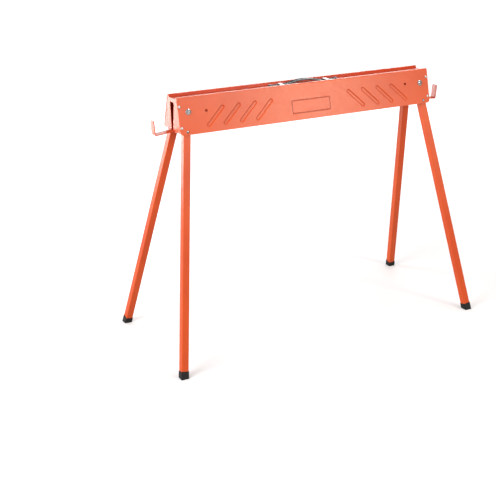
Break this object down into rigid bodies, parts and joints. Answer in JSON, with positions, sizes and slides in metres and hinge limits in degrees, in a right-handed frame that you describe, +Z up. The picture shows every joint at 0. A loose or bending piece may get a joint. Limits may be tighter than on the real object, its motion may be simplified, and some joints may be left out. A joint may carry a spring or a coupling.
{
  "type": "sawhorse",
  "caption": "Folding steel sawhorse: leaning side panels form the beam, square tube legs lock open or fold up inside it, with end hooks and a carry strap on top.",
  "frame": {"origin": "centre of the footprint, on the floor", "axes": "+X along the beam towards the right-hand end, -Y towards the front panel, +Z up"},
  "size_m": [1.2156, 0.5292, 0.8985],
  "materials": {
    "panel_paint": "satin powder coat",
    "channel_paint": "satin powder coat",
    "hook_paint": "satin powder coat",
    "leg_paint": "satin powder coat",
    "foot_plastic": "matt moulded",
    "nylon": "matt",
    "spring_steel": "satin",
    "strap_rubber": "matt moulded vinyl",
    "bright_zinc": "bright zinc plate",
    "zinc": "zinc plate"
  },
  "bodies": {
    "beam": {"front_panel": "panel_paint", "rear_panel": "panel_paint", "top_channel": "channel_paint", "pivot_bolts": "zinc", "pivot_spacers": "nylon", "pivot_washers": "zinc", "pivot_lock_nuts": "zinc", "left_end_bracket": "hook_paint", "right_end_bracket": "hook_paint", "end_rivets": "bright_zinc", "left_hook": "hook_paint", "right_hook": "hook_paint", "hook_rivets": "zinc", "left_strap_bracket": "bright_zinc", "right_strap_bracket": "bright_zinc", "bracket_rivets": "bright_zinc"},
    "front_left_leg": {"front_left_leg": "leg_paint", "front_left_foot": "foot_plastic", "front_left_pivot_sleeve": "zinc"},
    "front_left_lock": {"front_left_lock_button": "zinc", "front_left_lock_spring": "spring_steel"},
    "front_right_leg": {"front_right_leg": "leg_paint", "front_right_foot": "foot_plastic", "front_right_pivot_sleeve": "zinc"},
    "front_right_lock": {"front_right_lock_button": "zinc", "front_right_lock_spring": "spring_steel"},
    "rear_left_leg": {"rear_left_leg": "leg_paint", "rear_left_foot": "foot_plastic", "rear_left_pivot_sleeve": "zinc"},
    "rear_left_lock": {"rear_left_lock_button": "zinc", "rear_left_lock_spring": "spring_steel"},
    "rear_right_leg": {"rear_right_leg": "leg_paint", "rear_right_foot": "foot_plastic", "rear_right_pivot_sleeve": "zinc"},
    "rear_right_lock": {"rear_right_lock_button": "zinc", "rear_right_lock_spring": "spring_steel"},
    "handle": {"carry_strap": "strap_rubber"}
  },
  "joints": [
    {"name": "front_left_leg_fold", "type": "hinge", "parent": "beam", "child": "front_left_leg", "pos_m": [-0.4635, -0.03133, 0.84013], "axis": [0, -0.9677, 0.2521], "range_deg": [0, 96.75]},
    {"name": "front_left_lock_press", "type": "slide", "parent": "front_left_leg", "child": "front_left_lock", "axis": [0, 0.9677, -0.2521], "range_m": [0, 0.004], "deforming": ["front_left_lock_spring", "front_left_lock_button"]},
    {"name": "front_right_leg_fold", "type": "hinge", "parent": "beam", "child": "front_right_leg", "pos_m": [0.4635, -0.03133, 0.84013], "axis": [0, 0.9677, -0.2521], "range_deg": [0, 100.25]},
    {"name": "front_right_lock_press", "type": "slide", "parent": "front_right_leg", "child": "front_right_lock", "axis": [0, 0.9677, -0.2521], "range_m": [0, 0.004], "deforming": ["front_right_lock_spring", "front_right_lock_button"]},
    {"name": "rear_left_leg_fold", "type": "hinge", "parent": "beam", "child": "rear_left_leg", "pos_m": [-0.4635, 0.03133, 0.84013], "axis": [0, -0.9677, -0.2521], "range_deg": [0, 96.75]},
    {"name": "rear_left_lock_press", "type": "slide", "parent": "rear_left_leg", "child": "rear_left_lock", "axis": [0, -0.9677, -0.2521], "range_m": [0, 0.004], "deforming": ["rear_left_lock_spring", "rear_left_lock_button"]},
    {"name": "rear_right_leg_fold", "type": "hinge", "parent": "beam", "child": "rear_right_leg", "pos_m": [0.4635, 0.03133, 0.84013], "axis": [0, 0.9677, 0.2521], "range_deg": [0, 100.25]},
    {"name": "rear_right_lock_press", "type": "slide", "parent": "rear_right_leg", "child": "rear_right_lock", "axis": [0, -0.9677, -0.2521], "range_m": [0, 0.004], "deforming": ["rear_right_lock_spring", "rear_right_lock_button"]},
    {"name": "handle_lift", "type": "slide", "parent": "beam", "child": "handle", "axis": [0, 0, 1], "range_m": [0, 0.038], "deforming": ["carry_strap"]}
  ]
}
